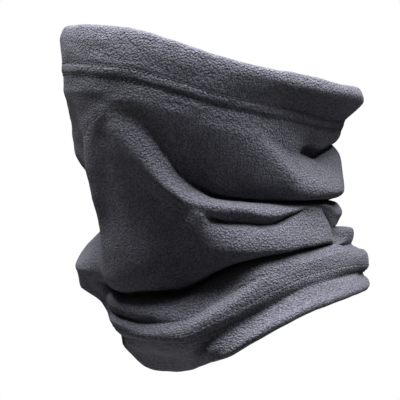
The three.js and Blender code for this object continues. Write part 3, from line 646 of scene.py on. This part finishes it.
def label_tape(face):
    """Points of the middle of the tape, from the seam round the fold and back, and its normals."""
    top = face.row["cheek_roll"]
    while face.grid[0, top, 2] < LABEL_TOP:
        top -= 1
    bottom = top
    while face.along[0, bottom] - face.along[0, top] < LABEL_HEIGHT:
        bottom += 1
    high, low = face.at(0, top, LABEL_ROOT), face.at(0, bottom, LABEL_ROOT)
    down = unit(low - high)
    inward = np.cross(down, (1.0, 0, 0))
    # The seam is at the back, so inwards is towards -Y.
    inward *= -np.sign(inward @ (0, 1.0, 0))
    straight = LABEL_LENGTH - LABEL_LOOP
    out = np.linspace(0, straight, 14)
    turn = np.linspace(-math.pi / 2, math.pi / 2, 9)[1:-1]
    reach = np.concatenate([out, straight + LABEL_LOOP * np.cos(turn), out[::-1]])
    root = LABEL_TAPE * 0.6
    width = root + (LABEL_LOOP - root) * smooth_step(out / straight)
    side = np.concatenate([-width, LABEL_LOOP * np.sin(turn), width[::-1]])
    lean = LABEL_BEND * (reach / LABEL_LENGTH) ** 2
    levels = np.linspace(0, LABEL_HEIGHT, 16)
    ripple = LABEL_RIPPLE * np.sin(levels / LABEL_WAVE)[None] * (reach / LABEL_LENGTH)[:, None]
    grid = high + levels[None, :, None] * down + reach[:, None, None] * inward
    grid[..., 0] += (side + lean)[:, None] + ripple
    return grid, unit(np.cross(np.gradient(grid, axis=0), np.gradient(grid, axis=1)))


def care_label(face, material):
    """The folded tape as one closed piece: its two sides and the edges between."""
    grid, normal = label_tape(face)
    first, second = grid + normal * LABEL_TAPE / 2, grid - normal * LABEL_TAPE / 2
    count, levels = grid.shape[:2]
    back = count * levels
    faces = []
    for i in range(count - 1):
        for k in range(levels - 1):
            a, b = i * levels + k, (i + 1) * levels + k
            faces.append((a, b, b + 1, a + 1))
            faces.append((back + a, back + a + 1, back + b + 1, back + b))
        for k in (0, levels - 1):
            a, b = i * levels + k, (i + 1) * levels + k
            edge = (a, back + a, back + b, b)
            faces.append(edge if k == 0 else edge[::-1])
    for i in (0, count - 1):
        for k in range(levels - 1):
            a = i * levels + k
            edge = (a, a + 1, back + a + 1, back + a)
            faces.append(edge if i == 0 else edge[::-1])
    return add_mesh("care_label_tape", np.concatenate([first.reshape(-1, 3), second.reshape(-1, 3)]),
                    faces, material)


# ---- materials ------------------------------------------------------------------------------------------

def new_material(name):
    """An empty material, its node tree and its shader."""
    material = bpy.data.materials.new(name)
    material.use_nodes = True
    tree = material.node_tree
    return material, tree, tree.nodes["Principled BSDF"]


def link_noise(tree, coordinates, scale, detail=2.0, roughness=0.5):
    """Noise from 0 to 1. The scale is bumps to the metre."""
    node = tree.nodes.new("ShaderNodeTexNoise")
    node.inputs["Scale"].default_value = scale
    node.inputs["Detail"].default_value = detail
    node.inputs["Roughness"].default_value = roughness
    tree.links.new(coordinates, node.inputs["Vector"])
    return node.outputs["Fac"]


def link_ramp(tree, source, stops):
    """A colour for each value, blended between stops of (value, colour)."""
    node = tree.nodes.new("ShaderNodeValToRGB")
    ramp = node.color_ramp
    while len(ramp.elements) < len(stops):
        ramp.elements.new(0.5)
    for element, (position, colour) in zip(ramp.elements, stops):
        element.position = position
        element.color = (*colour, 1)
    tree.links.new(source, node.inputs["Fac"])
    return node.outputs["Color"]


def link_math(tree, operation, first, second):
    """Arithmetic on two values, each a number or a node's output."""
    node = tree.nodes.new("ShaderNodeMath")
    node.operation = operation
    for socket, value in zip(node.inputs, (first, second)):
        if isinstance(value, (int, float)):
            socket.default_value = value
        else:
            tree.links.new(value, socket)
    return node.outputs["Value"]


def link_cells(tree, coordinates, scale):
    """Distance from the centre of rounded cells, 0 at each centre. The scale is cells to the metre."""
    node = tree.nodes.new("ShaderNodeTexVoronoi")
    node.feature = "SMOOTH_F1"
    node.inputs["Scale"].default_value = scale
    node.inputs["Smoothness"].default_value = 0.35
    tree.links.new(coordinates, node.inputs["Vector"])
    return node.outputs["Distance"]


def object_coordinates(tree):
    return tree.nodes.new("ShaderNodeTexCoord").outputs["Object"]


def link_bump(tree, height, shader, strength, distance):
    bump = tree.nodes.new("ShaderNodeBump")
    bump.inputs["Strength"].default_value = strength
    bump.inputs["Distance"].default_value = distance
    tree.links.new(height, bump.inputs["Height"])
    tree.links.new(bump.outputs["Normal"], shader.inputs["Normal"])


def fleece_material():
    """Short brushed pile: pebbly tufts a little over a millimetre across, with finer hair on them."""
    material, tree, shader = new_material("fleece")
    coordinates = object_coordinates(tree)
    tufts = link_math(tree, "SUBTRACT", 1.0, link_cells(tree, coordinates, scale=800))
    clumps = link_noise(tree, coordinates, scale=780, detail=3.0, roughness=0.6)
    hair = link_noise(tree, coordinates, scale=2600, roughness=0.6)
    cloud = link_noise(tree, coordinates, scale=60)
    pile = link_math(tree, "ADD", link_math(tree, "MULTIPLY", tufts, 0.5),
                     link_math(tree, "ADD", link_math(tree, "MULTIPLY", clumps, 0.7),
                               link_math(tree, "MULTIPLY", hair, 0.2)))
    shade = link_math(tree, "ADD", pile, link_math(tree, "MULTIPLY", cloud, 0.12))
    colour = link_ramp(tree, shade, ((0.66, (0.082, 0.083, 0.106)), (0.80, (0.120, 0.120, 0.152)),
                                     (0.94, (0.165, 0.165, 0.206))))
    tree.links.new(colour, shader.inputs["Base Color"])
    link_bump(tree, pile, shader, strength=1.0, distance=1.6 * MM)
    shader.inputs["Roughness"].default_value = 0.85
    shader.inputs["Specular IOR Level"].default_value = 0.2
    shader.inputs["Sheen Weight"].default_value = 0.1
    shader.inputs["Sheen Roughness"].default_value = 0.5
    return material


def thread_material(name, dark, light, roughness):
    """Spun thread: fine hairs and a little unevenness along it."""
    material, tree, shader = new_material(name)
    fibres = link_noise(tree, object_coordinates(tree), scale=5200, roughness=0.6)
    tree.links.new(link_ramp(tree, fibres, ((0.35, dark), (0.7, light))), shader.inputs["Base Color"])
    link_bump(tree, fibres, shader, strength=0.6, distance=0.12 * MM)
    shader.inputs["Roughness"].default_value = roughness
    return material


def satin_material():
    """Blank woven satin tape: long floats across it, with a fine rib."""
    material, tree, shader = new_material("label_satin")
    coordinates = object_coordinates(tree)
    ribs = tree.nodes.new("ShaderNodeTexWave")
    ribs.bands_direction = "Z"
    ribs.inputs["Scale"].default_value = 900
    ribs.inputs["Distortion"].default_value = 0.6
    tree.links.new(coordinates, ribs.inputs["Vector"])
    cloud = link_noise(tree, coordinates, scale=400, detail=3.0, roughness=0.6)
    weave = link_math(tree, "ADD", link_math(tree, "MULTIPLY", ribs.outputs["Fac"], 0.4),
                      link_math(tree, "MULTIPLY", cloud, 0.6))
    colour = link_ramp(tree, weave, ((0.2, (0.68, 0.68, 0.65)), (0.8, (0.84, 0.84, 0.81))))
    tree.links.new(colour, shader.inputs["Base Color"])
    link_bump(tree, weave, shader, strength=0.5, distance=0.1 * MM)
    shader.inputs["Roughness"].default_value = 0.38
    shader.inputs["Sheen Weight"].default_value = 0.3
    return material


# ---- stage ----------------------------------------------------------------------------------------------

CAMERA_AZIMUTH = 55.0
CAMERA_ELEVATION = 6.0
CAMERA_DISTANCE = 1.0
CAMERA_LENS = 140.2
CAMERA_SENSOR = 36.0
TARGET_HEIGHT = (97.0 + ORIGIN_DROP) * MM
TARGET_SIDE = -10.3 * MM        # the view's centre lies this far to the right of the neck's axis
FLOOR_HEIGHT = -1.15            # so far down that it lights the undersides and shows no shadow
FLOOR_SIDE = 2.0


def direction(azimuth, elevation):
    """Unit vector from the object towards a viewer or light at that azimuth and elevation."""
    a, e = math.radians(azimuth), math.radians(elevation)
    return Vector((math.sin(a) * math.cos(e), -math.cos(a) * math.cos(e), math.sin(e)))


def view_target():
    a = math.radians(CAMERA_AZIMUTH)
    return Vector((0, 0, TARGET_HEIGHT)) + Vector((math.cos(a), math.sin(a), 0)) * TARGET_SIDE


def look_at(thing, target):
    thing.rotation_mode = "QUATERNION"
    thing.rotation_quaternion = (target - thing.location).to_track_quat("-Z", "Y")


def make_camera():
    data = bpy.data.cameras.new("camera")
    data.lens = CAMERA_LENS
    data.sensor_width = CAMERA_SENSOR
    camera = bpy.data.objects.new("camera", data)
    camera.location = view_target() + direction(CAMERA_AZIMUTH, CAMERA_ELEVATION) * CAMERA_DISTANCE
    look_at(camera, view_target())
    bpy.context.scene.collection.objects.link(camera)
    bpy.context.scene.camera = camera


def add_light(name, azimuth, elevation, distance, size, power):
    """A square softbox aimed at the middle of the gaiter."""
    data = bpy.data.lights.new(name, "AREA")
    data.shape = "SQUARE"
    data.size = size
    data.energy = power
    light = bpy.data.objects.new(name, data)
    centre = Vector((0, 0, TARGET_HEIGHT))
    light.location = centre + direction(azimuth, elevation) * distance
    look_at(light, centre)
    bpy.context.scene.collection.objects.link(light)


LIGHTS = (      # name, azimuth, elevation, distance, size, power
    ("top_softbox", 60, 82, 1.1, 0.5, 25.5),
    ("right_softbox", 125, 62, 1.1, 0.5, 22.0),
    ("left_softbox", -35, 68, 1.1, 0.5, 20.5),
)
WORLD_LIGHT = 0.05
WORLD_SEEN = 1.0


def make_world():
    """White to the camera, dim as a light."""
    world = bpy.data.worlds.new("studio")
    world.use_nodes = True
    tree = world.node_tree
    background = tree.nodes["Background"]
    background.inputs["Color"].default_value = (1, 1, 1, 1)
    seen = tree.nodes.new("ShaderNodeLightPath").outputs["Is Camera Ray"]
    mix = tree.nodes.new("ShaderNodeMapRange")
    mix.inputs["To Min"].default_value = WORLD_LIGHT
    mix.inputs["To Max"].default_value = WORLD_SEEN
    tree.links.new(seen, mix.inputs["Value"])
    tree.links.new(mix.outputs["Result"], background.inputs["Strength"])
    bpy.context.scene.world = world


def make_stage():
    """The camera, the lights and the pale floor."""
    make_camera()
    make_world()
    for light in LIGHTS:
        add_light(*light)
    floor_material, _, shader = new_material("pale_floor")
    shader.inputs["Base Color"].default_value = (0.8, 0.8, 0.8, 1)
    shader.inputs["Roughness"].default_value = 0.9
    half = FLOOR_SIDE / 2 / MM
    level = FLOOR_HEIGHT / MM
    corners = [(-half, -half, level), (half, -half, level), (half, half, level), (-half, half, level)]
    add_mesh("floor", corners, [(0, 1, 2, 3)], floor_material, smooth=False)
    bpy.context.scene.view_settings.view_transform = "Standard"


# ---- the whole object -----------------------------------------------------------------------------------

def place(piece, node, slot):
    """The piece rides on the one body and stands for a CAD node, which is hidden. The slot is not used."""
    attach(piece, "root")
    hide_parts(node)


def add_hem_threads(face, hem, thread, looper):
    """A hem's two rows of stitches, and the net of thread on its inside."""
    upper, lower = f"{hem}_stitch_upper", f"{hem}_stitch_lower"
    holes = needle_holes(face, upper, lower)
    for row, level in (("upper", upper), ("lower", lower)):
        stitches = needle_thread(f"{hem}_stitches_{row}", face, level, holes, thread)
        place(stitches, f"{hem}_needle_thread_{row}", "hem_thread")
    net = looper_thread(f"{hem}_looper_net", face, upper, lower, holes, looper)
    place(net, f"{hem}_looper_thread", "looper_thread")


make_stage()
outer_face = OuterFace()
thread = thread_material("hem_thread", (0.035, 0.035, 0.045), (0.075, 0.075, 0.094), 0.6)
looper = thread_material("looper_thread", (0.030, 0.030, 0.040), (0.062, 0.062, 0.078), 0.75)

panel = fleece_panel(outer_face, fleece_material())
place(panel, "fleece_panel", "fleece")

add_hem_threads(outer_face, "top", thread, looper)
add_hem_threads(outer_face, "bottom", thread, looper)

needle, upper_loops, lower_loops = overlock_threads(outer_face, thread, looper)
place(needle, "back_seam_needle_thread", "hem_thread")
place(upper_loops, "back_seam_upper_looper", "looper_thread")
place(lower_loops, "back_seam_lower_looper", "looper_thread")

label = care_label(outer_face, satin_material())
place(label, "care_label", "label_satin")
